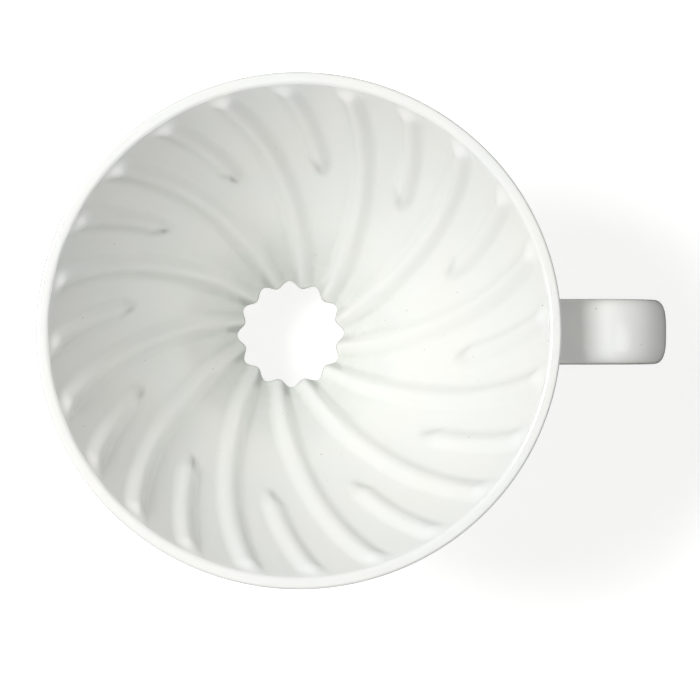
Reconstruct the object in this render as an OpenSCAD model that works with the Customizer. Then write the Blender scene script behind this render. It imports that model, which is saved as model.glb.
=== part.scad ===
// Conical pour-over dripper in glazed porcelain, in millimetres.
// The origin is on the cone's axis at the foot, +Z is up and +X points along the handle.

/* [Cone] */
// Height from the foot to the top of the rim
total_height = 102; // [98:1:110]
// Radius of the rim at its widest
rim_radius = 58; // [55:0.5:62]
// Radius of the rounded bead that forms the rim
bead_radius = 1.6; // [1.1:0.05:1.8]
// Full opening angle of the inner cone, in degrees
cone_angle = 60; // [58:1:61]
// Radius of the outlet between the ribs
outlet_radius = 12.75; // [11.5:0.25:13.5]
// Outer radius of the cone where it meets the neck
neck_radius = 19.5; // [18.5:0.5:21]

/* [Ribs] */
// Number of long ribs, and of short ribs between them
rib_count = 12; // [8:1:12]
// Height of a long rib above the wall
long_rib_height = 1.35; // [0.8:0.05:1.5]
// Width of a long rib at its foot
long_rib_width = 4.2; // [3.6:0.1:4.6]
// Height of a short rib above the wall
short_rib_height = 1.1; // [0.6:0.05:1.4]
// Width of a short rib at its foot
short_rib_width = 3.6; // [3:0.1:4.4]
// Radius at which a short rib's blunt lower end lies
short_rib_start = 37.5; // [32:0.5:44]
// Turn of a rib for each factor e in radius, in degrees
rib_spiral = 16.3; // [8:0.1:22]
// Extra turn of a rib towards the rim, in degrees
rib_hook = 8.6; // [0:0.1:12]

/* [Neck and outlet] */
// Radius of the round passage under the outlet
passage_radius = 14; // [13.6:0.1:15]
// Radius of the fillet that spreads the neck onto the plate
neck_fillet = 5; // [3:0.5:7]

/* [Base] */
// Radius of the saucer plate
plate_radius = 49; // [44:0.5:52]
// Radius of the plate's flat middle
plate_flat_radius = 40; // [37:0.5:41]
// Thickness of the plate
plate_thickness = 5; // [4:0.5:6]
// Rise of the plate's turned-up edge
plate_rise = 3; // [1:0.5:4]
// Outer radius of the ring that centres the dripper in the mouth below
ring_radius = 31; // [28:0.5:34]
// Height of the centring ring, from the foot to the plate's seat
ring_height = 10; // [9:0.5:11]
// Wall thickness of the centring ring
ring_wall = 3.5; // [3:0.5:5]
// Radius of the cove between the ring's wall and the plate's seat
ring_cove = 1; // [0.6:0.1:1.4]
// Number of air vents through the centring ring
vent_count = 3; // [2:1:4]
// Width of an air vent
vent_width = 11; // [6:1:13]
// Height of an air vent
vent_height = 4; // [2:0.5:4]

/* [Handle] */
// Distance from the cone's axis to the handle's outermost point
handle_reach = 84.5; // [80:0.5:92]
// Width of the handle's strap
handle_width = 14.8; // [12:0.1:18]
// Thickness of the handle's strap
handle_thickness = 7.5; // [5.5:0.5:8.5]
// Depth of the handle's top below the rim
handle_drop = 12.5; // [9:0.5:18]
// Height of the handle's loop between the middles of its two arms
loop_height = 37; // [33:1:42]
// Radius of the loop's upper bend at the strap's middle
upper_bend = 12; // [9:0.5:14]
// Radius of the loop's lower bend at the strap's middle
lower_bend = 17; // [12:0.5:18]

/* [Hidden] */
$fn = 96;
glaze = "#f4f3ee";
rib_glaze = "#faf9f5";
base_glaze = "#ebeae4";

// Levels
plate_bottom = ring_height;
plate_top = plate_bottom + plate_thickness;
half_angle = cone_angle / 2;
bead_r = rim_radius - bead_radius;
bead_z = total_height - bead_radius;
// The inner cone is tangent to the bead here
wall_top_r = bead_r - bead_radius * cos(half_angle);
wall_top_z = bead_z + bead_radius * sin(half_angle);
outlet_z = wall_top_z - (wall_top_r - outlet_radius) / tan(half_angle);
// The wall ends in a lip that leads from the outlet to the wider passage
lip_height = 2;
wall_foot_z = outlet_z - lip_height;
// The centring ring is let into the plate, inside the seat
let_in = 0.5;
seat_radius = ring_radius + ring_cove;
// The outer cone runs from the neck to a tangent of the bead
bead_away = norm([bead_r - neck_radius, bead_z - wall_foot_z]);
outer_angle = atan2(bead_r - neck_radius, bead_z - wall_foot_z) + asin(bead_radius / bead_away);

function inner_r(z) = wall_top_r - (wall_top_z - z) * tan(half_angle);
function inner_z(r) = wall_top_z - (wall_top_r - r) / tan(half_angle);
function outer_r(z) = neck_radius + (z - wall_foot_z) * tan(outer_angle);
function polar(r, angle, z) = [r * cos(angle), r * sin(angle), z];

// A closed solid through rings of equal count that all turn the same way,
// with its two ends closed onto the points first and last.
module skin(rings, first, last) {
    count = len(rings[0]);
    top = len(rings) - 1;
    points = concat([for (ring = rings) each ring], [first, last]);
    sides = [for (j = [0:top - 1], i = [0:count - 1])
        let (a = j * count + i, b = j * count + (i + 1) % count)
        each [[a, b, b + count], [a, b + count, a + count]]];
    first_end = [for (i = [0:count - 1]) [(i + 1) % count, i, len(points) - 2]];
    last_end = [for (i = [0:count - 1])
        [top * count + i, top * count + (i + 1) % count, len(points) - 1]];
    polyhedron(points, concat(sides, first_end, last_end), convexity = 6);
}

// --- Cone wall: a conical shell with a rounded rim and a lipped outlet ---

module cone_wall() {
    bead_outer = [bead_r + bead_radius * cos(outer_angle), bead_z - bead_radius * sin(outer_angle)];
    color(glaze) rotate_extrude() union() {
        polygon([
            [outlet_radius, outlet_z],
            [passage_radius, wall_foot_z],
            [neck_radius, wall_foot_z],
            bead_outer,
            [bead_r, bead_z],
            [wall_top_r, wall_top_z]
        ]);
        translate([bead_r, bead_z]) circle(r = bead_radius);
    }
}

// --- Ribs: spiral ridges on the inner cone, cut level at the outlet ---

// Across a rib, from foot to foot; the last step runs back under it along the wall
rib_steps = [-1, -0.62, -0.3, 0, 0.3, 0.62, 1];
rib_first_angle = 16.2;
rib_fade = 3.2;
blunt_end = 2.4;

// Where the middle of a rib lies at a radius of the cone
function rib_angle(r) = rib_first_angle + rib_spiral * ln(r / 12.5) + rib_hook * pow(r / 55, 4);
function rib_bump(step) = pow(cos(90 * step), 0.8);
// Runs from 0 to 1 over a length, as a quarter circle does
function rounded(x) = sqrt(1 - pow(1 - min(max(x, 0), 1), 2));

// One level section of a rib: its crest from foot to foot, then a point back on the wall
function rib_ring(r, width, height) =
    let (spread = width / 2 / r * 180 / PI, middle = rib_angle(r), z = inner_z(r))
    concat(
        [for (step = rib_steps) polar(r - height * rib_bump(step), middle + spread * step, z)],
        [polar(r, middle, z)]
    );

module rib(stations, width, height, blunt) {
    start = stations[0];
    end = stations[len(stations) - 1];
    rings = [for (r = stations)
        let (
            fade = rounded((end - r) / rib_fade),
            swell = blunt ? rounded((r - start) / blunt_end) : 1,
            grown = max(0.12, min(fade, swell))
        )
        rib_ring(r, width * max(0.3, min(1, grown * 1.15)), height * grown)];
    skin(rings, middle_of(rings[0]), middle_of(rings[len(rings) - 1]));
}

function middle_of(ring) = (ring[3] + ring[7]) / 2;

long_rings = 22;
short_rings = 15;
// The level height of a rib, from its height square to the wall
function level(height) = height / cos(half_angle);
rib_top_radius = wall_top_r - 0.3;

module long_ribs() {
    length = rib_top_radius - outlet_radius;
    stations = [for (i = [0:long_rings]) outlet_radius + length * sin(90 * i / long_rings)];
    color(rib_glaze) for (i = [0:rib_count - 1]) rotate(360 / rib_count * i)
        rib(stations, long_rib_width, level(long_rib_height), false);
}

module short_ribs() {
    length = rib_top_radius - short_rib_start;
    stations = [for (i = [0:short_rings])
        short_rib_start + length * (1 - cos(180 * i / short_rings)) / 2];
    color(rib_glaze) for (i = [0:rib_count - 1]) rotate(360 / rib_count * (i - 0.5))
        rib(stations, short_rib_width, level(short_rib_height), true);
}

// --- Outlet neck: carries the cone on the plate, around the round passage ---

fillet_edge = 0.4;

module outlet_neck() {
    fillet_top = plate_top + fillet_edge;
    color(base_glaze) rotate_extrude() union() {
        translate([passage_radius, plate_top])
            square([neck_radius - passage_radius, wall_foot_z - plate_top]);
        difference() {
            translate([neck_radius, plate_top]) square([neck_fillet, neck_fillet + fillet_edge]);
            translate([neck_radius + neck_fillet, fillet_top + neck_fillet]) circle(r = neck_fillet);
        }
    }
}

// --- Base plate: a saucer with a turned-up edge that rests on the vessel below ---

module base_plate() {
    edge = plate_thickness * 0.44;
    edge_r = plate_radius - edge;
    edge_z = plate_bottom + plate_thickness / 2 + plate_rise;
    slope = atan2(plate_rise, edge_r - plate_flat_radius);
    color(base_glaze) rotate_extrude() union() {
        polygon([
            [passage_radius, plate_bottom + let_in],
            [seat_radius, plate_bottom + let_in],
            [seat_radius, plate_bottom],
            [plate_flat_radius, plate_bottom],
            [edge_r + edge * sin(slope), edge_z - edge * cos(slope)],
            [edge_r, edge_z],
            [edge_r - edge * sin(slope), edge_z + edge * cos(slope)],
            [plate_flat_radius - edge * sin(slope), plate_top],
            [passage_radius, plate_top]
        ]);
        translate([edge_r, edge_z]) circle(r = edge);
    }
}

// --- Centring ring: stands in the mouth of the vessel, with vents that let its air out ---

foot_chamfer = 0.8;

module centring_ring() {
    inner = ring_radius - ring_wall;
    cove_z = ring_height - ring_cove;
    color(base_glaze) difference() {
        rotate_extrude() union() {
            polygon([
                [inner, ring_height + let_in],
                [inner, foot_chamfer],
                [inner + foot_chamfer, 0],
                [ring_radius, 0],
                [ring_radius, ring_height + let_in]
            ]);
            difference() {
                translate([ring_radius, cove_z]) square([ring_cove, ring_cove + let_in]);
                translate([seat_radius, cove_z]) circle(r = ring_cove);
            }
        }
        for (i = [0:vent_count - 1]) rotate(360 / vent_count * (i + 0.5))
            translate([0, -vent_width / 2, -1]) cube([ring_radius + 1, vent_width, vent_height + 1]);
    }
}

// --- Handle: a strap bent into a loop, its ends spread onto the cone ---

strap_points = 24;
strap_power = 3.2;
bend_steps = 8;
// How far the strap's ends spread, and over what length
flare = 0.35;
flare_length = 8;

grip_top_z = total_height - handle_drop - handle_thickness / 2;
grip_low_z = grip_top_z - loop_height;
grip_x = handle_reach - handle_thickness / 2;
arm_top_x = outer_r(grip_top_z);
arm_low_x = outer_r(grip_low_z);

// A rounded value between -1 and 1 that makes the strap's section full and soft
function soft(x) = sign(x) * pow(abs(x), 2 / strap_power);
function strap_outline(scale) = [for (i = [0:strap_points - 1])
    let (angle = 360 * i / strap_points)
    [handle_width / 2 * soft(cos(angle)), handle_thickness / 2 * soft(sin(angle))] * scale];

// Stations along the strap's middle, each [x, z, heading], with the heading's angle above +X
function bend(x, z, radius, from, to) = [for (i = [0:bend_steps])
    let (angle = from + (to - from) * i / bend_steps)
    [x + radius * cos(angle), z + radius * sin(angle), angle - 90]];
function arm(x1, x2, z, heading) = [for (i = [1:4]) [x1 + (x2 - x1) * i / 5, z, heading]];

first_x = arm_top_x + 3;
last_x = arm_low_x + 3;
strap_path = concat(
    [[first_x, grip_top_z, 0]],
    arm(first_x, grip_x - upper_bend, grip_top_z, 0),
    bend(grip_x - upper_bend, grip_top_z - upper_bend, upper_bend, 90, 0),
    bend(grip_x - lower_bend, grip_low_z + lower_bend, lower_bend, 0, -90),
    arm(grip_x - lower_bend, last_x, grip_low_z, -180),
    [[last_x, grip_low_z, -180]]
);

// The strap's ends spread as they near the cone at the level z
function spread(x, z) = 1 + flare * pow(1 - min((x - outer_r(z)) / flare_length, 1), 2);
function strap_ring(station) =
    let (size = spread(station[0], station[1]), angle = station[2] + 90)
    [for (p = strap_outline(size))
        [station[0] + p[1] * cos(angle), p[0], station[1] + p[1] * sin(angle)]];

// A section of the strap laid onto the cone, at a share of its full size;
// turn is 1 on the upper arm and -1 on the lower one
function end_ring(z, turn, share) = [for (p = strap_outline((1 + flare) * share))
    let (level = z + turn * p[1]) [sqrt(pow(outer_r(level), 2) - pow(p[0], 2)), p[0], level]];
end_shares = [0.2, 0.4, 0.6, 0.8, 1];

module handle() {
    upper_end = [for (share = end_shares) end_ring(grip_top_z, 1, share)];
    lower_end = [for (i = [4:-1:0]) end_ring(grip_low_z, -1, end_shares[i])];
    strap = [for (station = strap_path) strap_ring(station)];
    color(glaze) skin(
        concat(upper_end, strap, lower_end),
        [arm_top_x, 0, grip_top_z],
        [arm_low_x, 0, grip_low_z]
    );
}

cone_wall();
long_ribs();
short_ribs();
outlet_neck();
base_plate();
centring_ring();
handle();
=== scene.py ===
"""Pour-over dripper in white glazed porcelain: its visible pieces, glaze, light and camera.

Lengths are in metres in the part's own frame: the origin is on the cone's axis at the foot,
+Z is up and +X runs out along the handle.
"""

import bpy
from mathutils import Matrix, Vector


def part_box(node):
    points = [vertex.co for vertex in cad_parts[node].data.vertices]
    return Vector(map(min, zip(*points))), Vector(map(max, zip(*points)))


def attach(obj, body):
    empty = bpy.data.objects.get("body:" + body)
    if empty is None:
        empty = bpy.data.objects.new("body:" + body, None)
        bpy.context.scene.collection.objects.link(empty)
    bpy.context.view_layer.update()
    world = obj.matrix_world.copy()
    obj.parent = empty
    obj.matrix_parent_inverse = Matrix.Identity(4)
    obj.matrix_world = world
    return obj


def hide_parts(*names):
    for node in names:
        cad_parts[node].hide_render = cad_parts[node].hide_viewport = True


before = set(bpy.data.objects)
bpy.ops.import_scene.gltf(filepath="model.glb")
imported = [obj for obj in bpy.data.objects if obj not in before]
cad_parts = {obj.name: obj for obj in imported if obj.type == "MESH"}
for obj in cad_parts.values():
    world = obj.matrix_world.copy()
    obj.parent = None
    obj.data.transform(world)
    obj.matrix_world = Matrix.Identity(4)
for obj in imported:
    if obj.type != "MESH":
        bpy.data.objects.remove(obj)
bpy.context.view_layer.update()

import math

import bmesh
import bpy
from mathutils import Matrix, Vector

MM = 0.001

# --- Places and sizes -------------------------------------------------------------------------

wall_low, wall_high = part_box("cone_wall")
neck_low, neck_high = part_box("outlet_neck")
plate_low, plate_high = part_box("base_plate")
ring_low, ring_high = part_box("centring_ring")
handle_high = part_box("handle")[1]

RIM_Z = wall_high.z
RIM_R = (wall_high.x - wall_low.x) / 2
BEAD = 1.6 * MM
HALF_ANGLE = math.radians(30)
# The glazed outlet is a little narrower than the bare one
OUTLET_R = 12.55 * MM
PASSAGE_R = 14 * MM
NECK_R = 19.5 * MM
NECK_FILLET = 5 * MM
LET_IN = 0.5 * MM
PLATE_BOTTOM = ring_high.z - LET_IN
PLATE_TOP = neck_low.z
PLATE_R = (plate_high.x - plate_low.x) / 2
PLATE_FLAT_R = 40 * MM
PLATE_THICKNESS = PLATE_TOP - PLATE_BOTTOM
PLATE_EDGE = 0.44 * PLATE_THICKNESS
# Radii of the bend where the plate starts to rise, below and above
PLATE_BENDS = (9 * MM, 12 * MM)
RING_R = (ring_high.x - ring_low.x) / 2
RING_WALL = 3.5 * MM
VENTS = 3
VENT_WIDTH = 11 * MM
VENT_HEIGHT = 4 * MM
# Lower powers make a vent's arch squarer, across and upwards
ARCH_POWERS = (0.3, 0.4)
# Rows of the ring between one vent and the next
RING_STEPS = 60
COVE = 1 * MM
# Radius of the rounded edges of the ring's foot and of the passage's mouth
SOFT_EDGE = 0.8 * MM

BEAD_R = RIM_R - BEAD
BEAD_Z = RIM_Z - BEAD
WALL_TOP_R = BEAD_R - BEAD * math.cos(HALF_ANGLE)
WALL_TOP_Z = BEAD_Z + BEAD * math.sin(HALF_ANGLE)
OUTLET_Z = WALL_TOP_Z - (WALL_TOP_R - OUTLET_R) / math.tan(HALF_ANGLE)
OUTLET_ROUND = 0.5 * MM
WALL_FOOT_Z = neck_high.z
OUTER_ANGLE = (math.atan2(BEAD_R - NECK_R, BEAD_Z - WALL_FOOT_Z)
               + math.asin(BEAD / math.hypot(BEAD_R - NECK_R, BEAD_Z - WALL_FOOT_Z)))

# The glazed lip: a small round outside, a nearly flat crown and a broad shoulder inside
LIP_EDGE = 0.7 * MM
LIP_SHOULDER = 1.3 * MM
# Radii of the bends where the outside turns upright under the lip and where it runs into the neck
LIP_TURN = 1.5 * MM
WAIST = 11 * MM

# Firing left the rim slightly oval: longer along X and shorter along Y by this share
OVAL = 0.0084

RIBS = 12
RIB_PITCH = 2 * math.pi / RIBS
# Parts that are one piece of porcelain run this far into each other, out of sight
BURIED = 0.4 * MM
# Keeps an arc just short of the whole side that it rounds
NEARLY = 0.999


def inner_z(r):
    """Height of the inner cone at a radius."""
    return WALL_TOP_Z - (WALL_TOP_R - r) / math.tan(HALF_ANGLE)


def outer_r(z):
    """Radius of the outer cone at a height."""
    return NECK_R + (z - WALL_FOOT_Z) * math.tan(OUTER_ANGLE)


def smooth(x):
    """Rises gently from 0 to 1 while x does."""
    x = min(max(x, 0.0), 1.0)
    return x * x * (3 - 2 * x)


def oval(point):
    """The place of a point once the cone has warped; the handle moves along with the wall."""
    share = OVAL * smooth((point.z - OUTLET_Z) / (RIM_Z - OUTLET_Z))
    reach = min(point.x, outer_r(min(point.z, BEAD_Z)))
    return Vector((point.x + share * reach, point.y * (1 - share), point.z))


# --- Outlines ---------------------------------------------------------------------------------

def rounded_corner(before, corner, after, radius, steps=8):
    """The points that replace a corner by an arc tangent to both of its sides."""
    a, b = (before - corner).normalized(), (after - corner).normalized()
    half = a.angle(b) / 2
    reach = radius / math.tan(half)
    centre = corner + (a + b).normalized() * (radius / math.sin(half))
    first, last = corner + a * reach - centre, corner + b * reach - centre
    turn = first.angle_signed(last)
    points = []
    for i in range(steps + 1):
        t = -turn * i / steps
        points.append(centre + Vector((first.x * math.cos(t) - first.y * math.sin(t),
                                       first.x * math.sin(t) + first.y * math.cos(t))))
    return points


def rounded_path(corners):
    """An open path through (r, z, radius) corners, with each inner corner rounded."""
    places = [Vector(c[:2]) for c in corners]
    path = [places[0]]
    for i in range(1, len(corners) - 1):
        if corners[i][2]:
            path += rounded_corner(places[i - 1], places[i], places[i + 1], corners[i][2])
        else:
            path.append(places[i])
    return path + [places[-1]]


def divided(path, step):
    """The same path with points added so that none are further apart than the step."""
    out = [path[0]]
    for p, q in zip(path, path[1:]):
        count = max(1, math.ceil((q - p).length / step))
        out += [p.lerp(q, i / count) for i in range(1, count + 1)]
    return out


def cut_at_height(path, z):
    """Splits a rising path at a height into its lower and its upper part."""
    for i, (p, q) in enumerate(zip(path, path[1:])):
        if p.y <= z <= q.y and q.y > p.y:
            at = p.lerp(q, (z - p.y) / (q.y - p.y))
            return path[:i + 1] + [at], [at] + path[i + 1:]
    raise ValueError("the path does not cross that height")


# --- Meshes -----------------------------------------------------------------------------------

SHARP = math.radians(38)


def finished(name, bm, replaced, glaze=None):
    """Turns a bmesh into a smooth piece that rides on the body and replaces its CAD nodes."""
    bmesh.ops.remove_doubles(bm, verts=bm.verts, dist=1e-7)
    bmesh.ops.recalc_face_normals(bm, faces=bm.faces)
    mesh = bpy.data.meshes.new(name)
    bm.to_mesh(mesh)
    bm.free()
    for face in mesh.polygons:
        face.use_smooth = True
    mesh.set_sharp_from_angle(angle=SHARP)
    if glaze:
        # This attribute carries thick glaze together with painted shade in the ribs' feet and deep by the
        # outlet
        glaze_pool_and_shade = mesh.attributes.new("glaze_pool_and_shade", "FLOAT", "POINT")
        for vertex in mesh.vertices:
            glaze_pool_and_shade.data[vertex.index].value = glaze(vertex.co)
    for vertex in mesh.vertices:
        vertex.co = oval(vertex.co)
    piece = bpy.data.objects.new(name, mesh)
    bpy.context.collection.objects.link(piece)
    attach(piece, "root")
    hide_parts(replaced)
    return piece


def add_grid(bm, rows, closed_rows=False, closed_columns=False):
    """Adds quads between rows of points of equal count."""
    grid = [[bm.verts.new(p) for p in row] for row in rows]
    row_count, column_count = len(grid), len(grid[0])
    for j in range(row_count if closed_rows else row_count - 1):
        for i in range(column_count if closed_columns else column_count - 1):
            a, b = grid[j], grid[(j + 1) % row_count]
            k = (i + 1) % column_count
            bm.faces.new((a[i], a[k], b[k], b[i]))
    return grid


def around(r, angle, z):
    return Vector((r * math.cos(angle), r * math.sin(angle), z))


def revolved(name, outline, segments, replaced, glaze=None):
    """A closed outline of (r, z) points turned about the axis."""
    bm = bmesh.new()
    turns = [2 * math.pi * i / segments for i in range(segments)]
    add_grid(bm, [[around(p.x, a, p.y) for a in turns] for p in outline], True, True)
    return finished(name, bm, replaced, glaze)


# --- Ribs: where they run, how high they stand -------------------------------------------------

LONG_HALF_WIDTH = 4.0 * MM
SHORT_HALF_WIDTH = 3.8 * MM
LONG_HEIGHT = 1.55 * MM
SHORT_HEIGHT = 1.35 * MM
SHORT_START = 36 * MM
RIB_END = 55.3 * MM
# How far in radius a rib takes to rise at its lower end and to sink below the lip
RISE_LENGTH = 5 * MM
SINK_LENGTH = 1.7 * MM
# A rib's edges lie this little under the wall's surface, so that they never show
SUNK = 0.0005 * MM
# Degrees round the axis: where the first rib starts, how far it spirals while its radius grows
# by a factor of e, and how much further its hook has turned it near the lip
RIB_START = 16.2
RIB_SPIRAL = 16.3
RIB_HOOK = 8.6
HOOK_POWER = 4
# The radii at which the start and the hook are given
RIB_START_R = 12.5 * MM
HOOK_R = 55 * MM
# From this radius inwards, over this length, the long ribs narrow by a share and grow fuller
NARROW_R = 24 * MM
NARROW_LENGTH = 11 * MM
NARROWING = 0.19
# A short rib's width at its lower end, as a share of its full width
SHORT_START_SHARE = 0.6
# A higher power draws a rib's section in to a thinner crest with broader skirts
SECTION_POWER = 3
OUTLET_POWER = 2.4


def rib_angle(r):
    """Angle of a long rib's middle at a radius, for the rib that starts nearest +X."""
    hook = RIB_HOOK * (r / HOOK_R) ** HOOK_POWER
    return math.radians(RIB_START + RIB_SPIRAL * math.log(r / RIB_START_R) + hook)


def rib_slant(r):
    """Cosine of the angle between a rib and the cone's own straight lines."""
    turn = math.radians(RIB_SPIRAL + HOOK_POWER * RIB_HOOK * (r / HOOK_R) ** HOOK_POWER)
    return math.cos(math.atan(turn * math.sin(HALF_ANGLE)))


def near_outlet(r):
    """1 at the outlet, falling to 0 where the ribs have their usual section."""
    return smooth((NARROW_R - r) / NARROW_LENGTH)


def long_half(r):
    return LONG_HALF_WIDTH * (1 - NARROWING * near_outlet(r))


def long_height(r):
    return LONG_HEIGHT * smooth((RIB_END - r) / SINK_LENGTH)


def short_half(r):
    rise = smooth((r - SHORT_START) / RISE_LENGTH)
    return SHORT_HALF_WIDTH * (SHORT_START_SHARE + (1 - SHORT_START_SHARE) * rise)


def short_height(r):
    rise = smooth((r - SHORT_START) / RISE_LENGTH)
    return SHORT_HEIGHT * rise * smooth((RIB_END - r) / SINK_LENGTH)


def rib_section(share, r):
    """Height of a rib, as a share of its full height, at a share of its half width."""
    power = SECTION_POWER - (SECTION_POWER - OUTLET_POWER) * near_outlet(r)
    return max(0.0, 1 - share * share) ** power


def beside_ribs(point):
    """Distance of a point on the inner wall from the nearest rib's middle, in half widths."""
    r = max(math.hypot(point.x, point.y), OUTLET_R)
    angle = math.atan2(point.y, point.x) - rib_angle(r)
    nearest = math.inf
    for offset, half, start in ((0, long_half(r), 0), (0.5, short_half(r), SHORT_START)):
        turn = angle + offset * RIB_PITCH
        turn -= RIB_PITCH * round(turn / RIB_PITCH)
        beyond = max(0.0, start - r, r - RIB_END) / math.sin(HALF_ANGLE)
        nearest = min(nearest, math.hypot(turn * r * rib_slant(r), beyond) / half)
    return nearest


# Thick glaze and painted shade, a darker, greener tint: along a rib's foot, at this many half widths
# from its middle and this far to each side, and in the valleys between the ribs below this radius
FOOT_AWAY = 0.7
FOOT_SPREAD = 0.25
FOOT_SHARE = 0.05
LOW_FOOT_SHARE = 0.25
VALLEY_AWAY = 0.35
VALLEY_SPREAD = 0.5
VALLEY_SHARE = 0.35
LOW_R = 30 * MM
LOW_LENGTH = 16 * MM
# Points this near to the inner cone count as inside
INSIDE_WITHIN = 1.2 * MM


def pooled_glaze_and_shade(point):
    """Share of the darker, greener tint at a point: thick glaze with painted shade, along the ribs' feet
    and towards the outlet.
    """
    r = math.hypot(point.x, point.y)
    away = beside_ribs(point)
    foot = math.exp(-((away - FOOT_AWAY) / FOOT_SPREAD) ** 2)
    valley = smooth((away - VALLEY_AWAY) / VALLEY_SPREAD)
    low = smooth((LOW_R - r) / LOW_LENGTH)
    foot_share = FOOT_SHARE + (LOW_FOOT_SHARE - FOOT_SHARE) * low
    return min(1.0, foot * foot_share + valley * VALLEY_SHARE * low)


def wall_glaze_and_shade(point):
    """The wall's thick glaze and painted shade lie only on the inside of the cone."""
    r = math.hypot(point.x, point.y)
    inside = r < WALL_TOP_R and abs(point.z - inner_z(r)) < INSIDE_WITHIN
    return pooled_glaze_and_shade(point) if inside else 0.0


# --- Cone wall, neck, plate and ring ------------------------------------------------------------

def wall_outline():
    """The glazed surface from the plate's top, up the outside, over the lip and down inside."""
    widest_z = WALL_FOOT_Z + (RIM_R - NECK_R) / math.tan(OUTER_ANGLE)
    return rounded_path([
        (NECK_R + NECK_FILLET, PLATE_TOP, 0),
        (NECK_R, PLATE_TOP, NECK_FILLET * NEARLY),
        (NECK_R, WALL_FOOT_Z, WAIST),
        (RIM_R, widest_z, LIP_TURN),
        (RIM_R, RIM_Z, LIP_EDGE),
        (WALL_TOP_R + (RIM_Z - WALL_TOP_Z) * math.tan(HALF_ANGLE), RIM_Z, LIP_SHOULDER),
        (OUTLET_R, OUTLET_Z, OUTLET_ROUND),
        (PASSAGE_R, WALL_FOOT_Z, 0),
    ])


def make_cone_wall():
    """The wall above its foot; its inside has finer rows, to carry the thick glaze and painted shade."""
    _, wall = cut_at_height(wall_outline(), WALL_FOOT_Z)
    top = max(range(len(wall)), key=lambda i: wall[i].y)
    under = [Vector((PASSAGE_R, WALL_FOOT_Z - BURIED)), Vector((NECK_R - BURIED, WALL_FOOT_Z - BURIED))]
    outline = divided(wall[:top + 1], 3 * MM) + divided(wall[top:], MM)[1:] + under
    return revolved("cone_wall_glazed", outline, 600, "cone_wall", wall_glaze_and_shade)


def make_outlet_neck():
    """The wall's foot, down to its fillet on the plate, with the passage inside."""
    outside, _ = cut_at_height(wall_outline(), WALL_FOOT_Z)
    inside = [Vector((PASSAGE_R, WALL_FOOT_Z)), Vector((PASSAGE_R, PLATE_TOP - BURIED)),
              Vector((NECK_R + NECK_FILLET, PLATE_TOP - BURIED))]
    outline = divided(outside, 0.8 * MM) + divided(inside[:2], 1.5 * MM) + inside[2:]
    return revolved("outlet_neck_glazed", outline, 288, "outlet_neck")


def make_base_plate():
    """A saucer: flat in the middle, then rising to a rolled edge."""
    middle = Vector((PLATE_R - PLATE_EDGE, plate_high.z - PLATE_EDGE))
    flat_edge = Vector((PLATE_FLAT_R, (PLATE_BOTTOM + PLATE_TOP) / 2))
    along = (middle - flat_edge).normalized()
    square = Vector((-along.y, along.x))
    low = middle + (along - square) * PLATE_EDGE
    high = middle + (along + square) * PLATE_EDGE
    outline = rounded_path([
        (PASSAGE_R, (PLATE_TOP + PLATE_BOTTOM) / 2, 0),
        (PASSAGE_R, PLATE_BOTTOM, SOFT_EDGE),
        (PLATE_FLAT_R, PLATE_BOTTOM, PLATE_BENDS[0]),
        (*low, PLATE_EDGE * 0.98),
        (*high, PLATE_EDGE * 0.98),
        (PLATE_FLAT_R - PLATE_EDGE * along.y, PLATE_TOP, PLATE_BENDS[1]),
        (PASSAGE_R, PLATE_TOP, 0),
    ])
    return revolved("base_plate_glazed", divided(outline, 2 * MM), 360, "base_plate")


def vent_arch(steps=28):
    """Half widths and heights along a vent's arch, a rounded rectangle open at the foot."""
    arch = []
    for i in range(steps + 1):
        a = math.pi * i / steps
        across, up = -math.cos(a), math.sin(a)
        half_width = math.copysign(abs(across) ** ARCH_POWERS[0], across) * VENT_WIDTH / 2
        arch.append((half_width, up ** ARCH_POWERS[1] * VENT_HEIGHT))
    return arch


def make_centring_ring():
    """The ring's section is swept round it, and its foot lifts over each vent."""
    inner = RING_R - RING_WALL
    top = PLATE_BOTTOM + BURIED
    stations = []
    for vent in range(VENTS):
        middle = 2 * math.pi * (vent + 0.5) / VENTS
        arch = [(middle + x / RING_R, foot) for x, foot in vent_arch()]
        gap = 2 * math.pi / VENTS - (arch[-1][0] - arch[0][0])
        stations += arch
        stations += [(arch[-1][0] + gap * i / RING_STEPS, 0.0) for i in range(1, RING_STEPS)]
    rows = []
    for angle, foot in stations:
        section = rounded_path([
            (RING_R + COVE, top, 0),
            (RING_R + COVE, PLATE_BOTTOM, 0),
            (RING_R, PLATE_BOTTOM, COVE * NEARLY),
            (RING_R, foot, SOFT_EDGE),
            (inner, foot, SOFT_EDGE),
            (inner, top, 0),
        ])
        rows.append([around(p.x, angle, p.y) for p in section])
    bm = bmesh.new()
    add_grid(bm, rows, True, True)
    return finished("centring_ring_glazed", bm, "centring_ring")


# --- Ribs' meshes -------------------------------------------------------------------------------

# A rib's quads across its width, and the distance between its rows up the cone and round the lip
ACROSS = 24
ALONG = 0.8 * MM
ROUND_LIP = 0.35 * MM
# The lip's rows go this far above the outlet, and the cone's rows begin this far out from the last
LIP_RUN = 0.9 * MM
LIP_STEP = 0.3 * MM
# A radius on the cone well above the lip
ABOVE_LIP_R = 18 * MM


def rib_row(base, normal, r, height, half):
    """One row of a rib's surface across its width, closed by a skirt under the wall's surface."""
    angle = rib_angle(r)
    edge = half / (r * rib_slant(r))
    row = []
    for i in range(ACROSS + 1):
        share = -math.cos(math.pi * i / ACROSS)
        h = height * rib_section(share, r) - SUNK
        row.append(around(base.x + normal.x * h, angle + share * edge, base.y + normal.y * h))
    buried = base - normal * BURIED
    return row + [around(buried.x, angle + edge * share, buried.y) for share in (1, 0.5, 0, -0.5, -1)]


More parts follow.
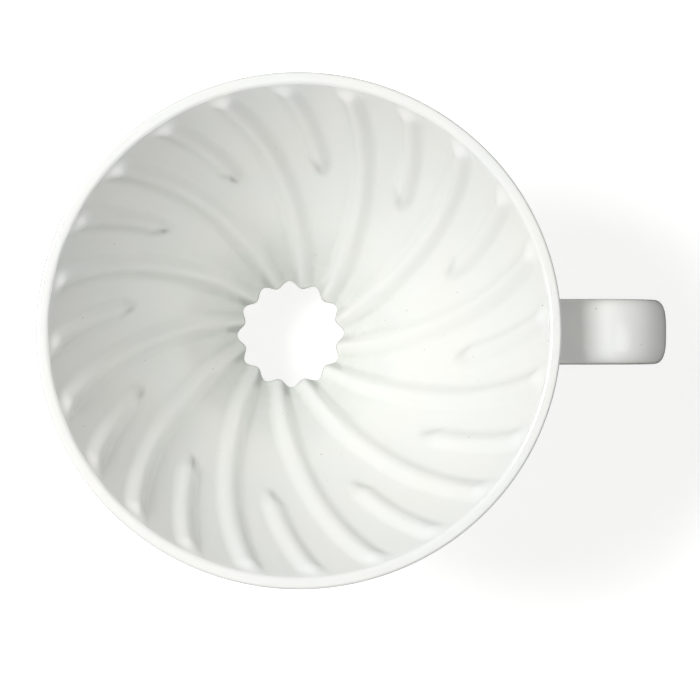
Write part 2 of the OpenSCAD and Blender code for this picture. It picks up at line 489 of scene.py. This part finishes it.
def cone_rows(r1, r2, height_at, half_at):
    """Rows of a rib along the cone between two radii."""
    normal = Vector((-math.cos(HALF_ANGLE), math.sin(HALF_ANGLE)))
    count = math.ceil((r2 - r1) / math.sin(HALF_ANGLE) / ALONG)
    radii = [r1 + (r2 - r1) * i / count for i in range(count + 1)]
    return [rib_row(Vector((r, inner_z(r))), normal, r, height_at(r), half_at(r)) for r in radii]


def lip_rows():
    """Rows that let a long rib die out under the outlet's lip, and the radius that they reach."""
    lip = divided(rounded_path([
        (PASSAGE_R, WALL_FOOT_Z, 0),
        (OUTLET_R, OUTLET_Z, OUTLET_ROUND),
        (ABOVE_LIP_R, inner_z(ABOVE_LIP_R), 0),
    ]), ROUND_LIP)
    lip = [p for p in lip if p.y < OUTLET_Z + LIP_RUN]
    rows = []
    for before, p, after in zip(lip, lip[1:], lip[2:]):
        along = (after - before).normalized()
        normal = Vector((-along.y, along.x))
        fade = smooth((p.y - WALL_FOOT_Z) / (OUTLET_Z - WALL_FOOT_Z))
        rows.append(rib_row(p, normal, OUTLET_R, long_height(OUTLET_R) * fade, long_half(OUTLET_R)))
    return rows, lip[-2].x


def make_ribs(name, rows, offset, replaced):
    bm = bmesh.new()
    for i in range(RIBS):
        turn = RIB_PITCH * (i + offset)
        c, s = math.cos(turn), math.sin(turn)
        turned = [[Vector((p.x * c - p.y * s, p.x * s + p.y * c, p.z)) for p in row] for row in rows]
        grid = add_grid(bm, turned, False, True)
        bm.faces.new(grid[0])
        bm.faces.new(grid[-1])
    return finished(name, bm, replaced, pooled_glaze_and_shade)


def make_long_ribs():
    lip, lip_end = lip_rows()
    rows = lip + cone_rows(lip_end + LIP_STEP, RIB_END, long_height, long_half)
    return make_ribs("long_ribs_glazed", rows, 0, "long_ribs")


def make_short_ribs():
    rows = cone_rows(SHORT_START, RIB_END, short_height, short_half)
    return make_ribs("short_ribs_glazed", rows, -0.5, "short_ribs")


# --- Handle -------------------------------------------------------------------------------------

STRAP_WIDTH = 14.8 * MM
STRAP_THICKNESS = 7.5 * MM
STRAP_POWER = 3.2
STRAP_POINTS = 64
HANDLE_DROP = 12.5 * MM
LOOP_HEIGHT = 37 * MM
UPPER_BEND = 12 * MM
LOWER_BEND = 17 * MM
ROOT_FILLET = 4 * MM
GRIP_TOP_Z = RIM_Z - HANDLE_DROP - STRAP_THICKNESS / 2
GRIP_LOW_Z = GRIP_TOP_Z - LOOP_HEIGHT
GRIP_X = handle_high.x - STRAP_THICKNESS / 2


def soft(x):
    """Turns a circle's sine or cosine into that of a rounded rectangle."""
    return math.copysign(abs(x) ** (2 / STRAP_POWER), x)


def strap_section():
    """Points of the strap's section with their outward normals, as (across, thick)."""
    turns = [2 * math.pi * i / STRAP_POINTS for i in range(STRAP_POINTS)]
    half = Vector((STRAP_WIDTH / 2, STRAP_THICKNESS / 2))
    section = []
    for a in turns:
        p = Vector((half.x * soft(math.cos(a)), half.y * soft(math.sin(a))))
        n = Vector((math.copysign(abs(p.x / half.x) ** (STRAP_POWER - 1) / half.x, p.x),
                    math.copysign(abs(p.y / half.y) ** (STRAP_POWER - 1) / half.y, p.y)))
        section.append((p, n.normalized()))
    return section


def root_rows(z, turn, steps=10):
    """Rows where an arm spreads in a fillet onto the cone, from the cone outwards."""
    rows = [root_row(z, turn, -BURIED, ROOT_FILLET * share) for share in (0.7, NEARLY)]
    for i in range(steps, -1, -1):
        a = math.pi / 2 * i / steps
        rows.append(root_row(z, turn, ROOT_FILLET * (1 - math.sin(a)), ROOT_FILLET * (1 - math.cos(a))))
    return rows


def root_row(z, turn, proud, spread):
    """The strap's section widened by the spread and laid on the cone, or this proud of it."""
    row = []
    for p, n in strap_section():
        q = p + n * spread
        level = z + turn * q.y
        row.append(Vector((math.sqrt(outer_r(level) ** 2 - q.x ** 2) + proud, q.x, level)))
    return row


def strap_row(x, z, heading):
    """The strap's section at a point, square to its heading."""
    c, s = math.cos(heading + math.pi / 2), math.sin(heading + math.pi / 2)
    return [Vector((x + p.y * c, p.x, z + p.y * s)) for p, _ in strap_section()]


def bend_rows(centre, radius, start, end, steps=28):
    turns = [start + (end - start) * i / steps for i in range(steps + 1)]
    return [strap_row(centre[0] + radius * math.cos(a), centre[1] + radius * math.sin(a), a - math.pi / 2)
            for a in turns]


def make_handle():
    upper, lower = root_rows(GRIP_TOP_Z, 1), root_rows(GRIP_LOW_Z, -1)
    rows = upper
    rows += bend_rows((GRIP_X - UPPER_BEND, GRIP_TOP_Z - UPPER_BEND), UPPER_BEND, math.pi / 2, 0)
    rows += bend_rows((GRIP_X - LOWER_BEND, GRIP_LOW_Z + LOWER_BEND), LOWER_BEND, 0, -math.pi / 2)
    rows += list(reversed(lower))
    bm = bmesh.new()
    grid = add_grid(bm, rows, False, True)
    bm.faces.new(grid[0])
    bm.faces.new(grid[-1])
    return finished("handle_strap", bm, "handle")


# --- Materials ----------------------------------------------------------------------------------

class Nodes:
    """Shorthand for building a node material."""

    def __init__(self, name):
        self.material = bpy.data.materials.new(name)
        self.material.use_nodes = True
        self.tree = self.material.node_tree
        self.shader = self.tree.nodes["Principled BSDF"]

    def add(self, kind, **settings):
        node = self.tree.nodes.new(kind)
        for key, value in settings.items():
            if hasattr(node, key):
                setattr(node, key, value)
            else:
                node.inputs[key.replace("_", " ")].default_value = value
        return node

    def link(self, source, target):
        self.tree.links.new(source, target)

    def noise(self, place, scale, detail):
        node = self.add("ShaderNodeTexNoise", Scale=scale, Detail=detail, Roughness=0.5)
        self.link(place, node.inputs["Vector"])
        return node.outputs["Fac"]

    def ramp(self, value, low, high, out_low=0.0, out_high=1.0):
        node = self.add("ShaderNodeMapRange", interpolation_type="SMOOTHSTEP")
        limits = {"From Min": low, "From Max": high, "To Min": out_low, "To Max": out_high}
        for socket, number in limits.items():
            node.inputs[socket].default_value = number
        self.link(value, node.inputs["Value"])
        return node.outputs["Result"]

    def mix(self, factor, first, second):
        node = self.add("ShaderNodeMix", data_type="RGBA")
        # A mix node's colours are its inputs 6 and 7, and its mixed colour is its output 2
        sockets = (node.inputs["Factor"], node.inputs[6], node.inputs[7])
        for socket, value in zip(sockets, (factor, first, second)):
            if isinstance(value, bpy.types.NodeSocket):
                self.link(value, socket)
            else:
                socket.default_value = value
        return node.outputs[2]

    def maths(self, operation, first, second):
        node = self.add("ShaderNodeMath", operation=operation)
        for socket, value in zip(node.inputs, (first, second)):
            if isinstance(value, bpy.types.NodeSocket):
                self.link(value, socket)
            else:
                socket.default_value = value
        return node.outputs["Value"]


WHITE = (0.778, 0.79, 0.768, 1)
WARM_WHITE = (0.795, 0.79, 0.762, 1)
# Darker green-grey for thick glaze and for painted shade in the ribs' feet and near the outlet
CELADON_AND_SHADE = (0.6, 0.66, 0.6, 1)
SPECK = (0.16, 0.12, 0.09, 1)
BISCUIT = (0.78, 0.74, 0.67, 1)
# Noise scales, in waves to the metre
PATCHES = 38
GLAZE_AND_SHADE_NOISE = 260
SPECKS = 1150
SHEEN = 90
SWELL = 55
PEEL = 620
# The glaze's roughness, its bump and how much of the bump is orange peel
ROUGHNESS = (0.09, 0.16)
BUMP_DEPTH = 0.05 * MM
PEEL_SHARE = 0.12
SPECK_LEVELS = (0.895, 0.915)
SPECK_SHARE = 0.6
# The glaze ends between these heights over the ring's foot
BARE_LEVELS = (0.55 * MM, 0.35 * MM)
BARE_ROUGHNESS = 0.6


def porcelain(name, bare_foot=False):
    """Clear glossy glaze on white porcelain."""
    n = Nodes(name)
    place = n.add("ShaderNodeTexCoord").outputs["Object"]
    patches = n.ramp(n.noise(place, PATCHES, 3), 0.35, 0.65)
    colour = n.mix(patches, WHITE, WARM_WHITE)
    # Thick glaze together with painted shade in the ribs' feet and deep by the outlet tints the white
    # towards a darker green-grey
    glaze_pool_and_shade = n.add("ShaderNodeAttribute", attribute_name="glaze_pool_and_shade").outputs["Fac"]
    uneven = n.ramp(n.noise(place, GLAZE_AND_SHADE_NOISE, 2), 0.3, 0.7, 0.55, 1.0)
    colour = n.mix(n.maths("MULTIPLY", glaze_pool_and_shade, uneven), colour, CELADON_AND_SHADE)
    specks = n.ramp(n.noise(place, SPECKS, 0), *SPECK_LEVELS, 0.0, SPECK_SHARE)
    colour = n.mix(specks, colour, SPECK)
    roughness = n.ramp(n.noise(place, SHEEN, 4), 0.3, 0.7, *ROUGHNESS)
    swell = n.noise(place, SWELL, 1)
    peel = n.noise(place, PEEL, 2)
    bump = n.add("ShaderNodeBump", Strength=0.35, Distance=BUMP_DEPTH)
    n.link(n.maths("ADD", swell, n.maths("MULTIPLY", peel, PEEL_SHARE)), bump.inputs["Height"])
    if bare_foot:
        height = n.add("ShaderNodeSeparateXYZ")
        n.link(place, height.inputs["Vector"])
        bare = n.ramp(height.outputs["Z"], *BARE_LEVELS)
        colour = n.mix(bare, colour, BISCUIT)
        roughness = n.maths("ADD", roughness, n.maths("MULTIPLY", bare, BARE_ROUGHNESS))
    n.link(colour, n.shader.inputs["Base Color"])
    n.link(roughness, n.shader.inputs["Roughness"])
    n.link(bump.outputs["Normal"], n.shader.inputs["Normal"])
    n.shader.inputs["IOR"].default_value = 1.5
    n.shader.inputs["Coat Weight"].default_value = 0.5
    n.shader.inputs["Coat Roughness"].default_value = 0.05
    return n.material


FLOOR_TONES = ((0.58, 0.58, 0.58, 1), (0.62, 0.62, 0.615, 1))
FLOOR_GLOW = 0.62
BACKDROP_TONES = ((0.99, 0.99, 0.985, 1), (1, 1, 1, 1))
BACKDROP_GLOW = 0.92


def floor_material():
    """Matt pale paper with light of its own, so that it is white in the picture."""
    n = Nodes("pale_floor")
    place = n.add("ShaderNodeTexCoord").outputs["Object"]
    tone = n.mix(n.noise(place, 3, 4), *FLOOR_TONES)
    n.link(tone, n.shader.inputs["Base Color"])
    n.shader.inputs["Roughness"].default_value = 0.8
    n.shader.inputs["Specular IOR Level"].default_value = 0.1
    n.shader.inputs["Emission Color"].default_value = (1, 1, 0.995, 1)
    n.shader.inputs["Emission Strength"].default_value = FLOOR_GLOW
    return n.material


def backdrop_material():
    """Plain pale light, as bright as the floor is far from the dripper."""
    n = Nodes("pale_backdrop")
    place = n.add("ShaderNodeTexCoord").outputs["Object"]
    tone = n.mix(n.noise(place, 0.6, 2), *BACKDROP_TONES)
    n.link(tone, n.shader.inputs["Emission Color"])
    n.shader.inputs["Base Color"].default_value = (0, 0, 0, 1)
    n.shader.inputs["Specular IOR Level"].default_value = 0
    n.shader.inputs["Emission Strength"].default_value = BACKDROP_GLOW
    return n.material


# --- Floor, light and camera --------------------------------------------------------------------

FLOOR_HALF = 3.0
BACKDROP_RADIUS = 2.9
BACKDROP_HEIGHT = 3.0
BACKDROP_FOOT = -0.05
BACKDROP_SIDES = 96
LIGHT_DISTANCE = 1.2
# Each soft box's azimuth and elevation in degrees, width in metres and power in watts
SOFT_BOXES = {"left_box": (167, 58, 0.4, 13.0), "right_box": (345, 50, 0.5, 1.1)}
SKY_HORIZON = 0.0
SKY_ZENITH = 0.58
# The camera's height over the rim, and its place beside the axis
CAMERA_HEIGHT = 1.0
CAMERA_ASIDE = (-28.4 * MM, -11.2 * MM)
# The picture's middle and width on the plane of the rim
VIEW_MIDDLE = (11.24 * MM, -4.31 * MM)
VIEW_WIDTH = 155.6 * MM


def make_floor():
    """A wide pale floor under the foot, left out of the glaze's reflections."""
    bm = bmesh.new()
    bmesh.ops.create_grid(bm, x_segments=4, y_segments=4, size=FLOOR_HALF)
    mesh = bpy.data.meshes.new("floor")
    bm.to_mesh(mesh)
    bm.free()
    floor = bpy.data.objects.new("floor", mesh)
    floor.data.materials.append(floor_material())
    bpy.context.collection.objects.link(floor)
    floor.visible_glossy = False


def make_backdrop():
    """A pale round wall near the floor's edge; it closes the view and casts neither light nor shadow."""
    bm = bmesh.new()
    turns = [2 * math.pi * i / BACKDROP_SIDES for i in range(BACKDROP_SIDES)]
    levels = (BACKDROP_FOOT, BACKDROP_HEIGHT)
    add_grid(bm, [[around(BACKDROP_RADIUS, a, z) for a in turns] for z in levels], closed_columns=True)
    mesh = bpy.data.meshes.new("backdrop")
    bm.to_mesh(mesh)
    bm.free()
    wall = bpy.data.objects.new("backdrop", mesh)
    wall.data.materials.append(backdrop_material())
    bpy.context.collection.objects.link(wall)
    wall.visible_diffuse = False
    wall.visible_glossy = False
    wall.visible_transmission = False
    wall.visible_shadow = False


def make_light(name, azimuth, elevation, size, power):
    """A square soft box that looks at the cone; azimuth is the side that it stands on."""
    a, e = math.radians(azimuth), math.radians(elevation)
    aim = Vector((0, 0, RIM_Z * 0.7))
    data = bpy.data.lights.new(name, "AREA")
    data.shape = "SQUARE"
    data.size = size
    data.energy = power
    lamp = bpy.data.objects.new(name, data)
    towards = Vector((math.cos(a) * math.cos(e), math.sin(a) * math.cos(e), math.sin(e)))
    lamp.location = aim + LIGHT_DISTANCE * towards
    lamp.rotation_mode = "QUATERNION"
    lamp.rotation_quaternion = (aim - lamp.location).to_track_quat("-Z", "Y")
    bpy.context.collection.objects.link(lamp)


def make_world():
    """A white studio sky, brightest overhead and dark at the horizon."""
    world = bpy.data.worlds.new("studio")
    world.use_nodes = True
    tree = world.node_tree
    back = tree.nodes["Background"]
    back.inputs["Color"].default_value = (1, 1, 1, 1)
    direction = tree.nodes.new("ShaderNodeTexCoord")
    parts = tree.nodes.new("ShaderNodeSeparateXYZ")
    strength = tree.nodes.new("ShaderNodeMapRange")
    strength.inputs["To Min"].default_value = SKY_HORIZON
    strength.inputs["To Max"].default_value = SKY_ZENITH
    tree.links.new(direction.outputs["Generated"], parts.inputs["Vector"])
    tree.links.new(parts.outputs["Z"], strength.inputs["Value"])
    tree.links.new(strength.outputs["Result"], back.inputs["Strength"])
    bpy.context.scene.world = world


def make_camera():
    """A long lens high above the rim, aimed at the middle of the view."""
    data = bpy.data.cameras.new("camera")
    data.sensor_width = 36
    data.clip_start, data.clip_end = 0.05, 20
    camera = bpy.data.objects.new("camera", data)
    camera.location = (*CAMERA_ASIDE, RIM_Z + CAMERA_HEIGHT)
    away = camera.location - Vector((*VIEW_MIDDLE, RIM_Z))
    data.lens = data.sensor_width * away.length / VIEW_WIDTH
    back = away.normalized()
    up = back.cross(Vector((1, 0, 0))).normalized()
    camera.rotation_mode = "QUATERNION"
    camera.rotation_quaternion = Matrix((up.cross(back), up, back)).transposed().to_quaternion()
    bpy.context.collection.objects.link(camera)
    bpy.context.scene.camera = camera


make_camera()
make_world()
make_floor()
make_backdrop()
for box_name, box in SOFT_BOXES.items():
    make_light(box_name, *box)
bpy.context.scene.view_settings.view_transform = "Standard"

glazed = porcelain("glazed_porcelain")
ring_glaze = porcelain("ring_porcelain", bare_foot=True)
for piece in (make_cone_wall(), make_long_ribs(), make_short_ribs(), make_outlet_neck(),
              make_base_plate(), make_handle()):
    piece.data.materials.append(glazed)
make_centring_ring().data.materials.append(ring_glaze)
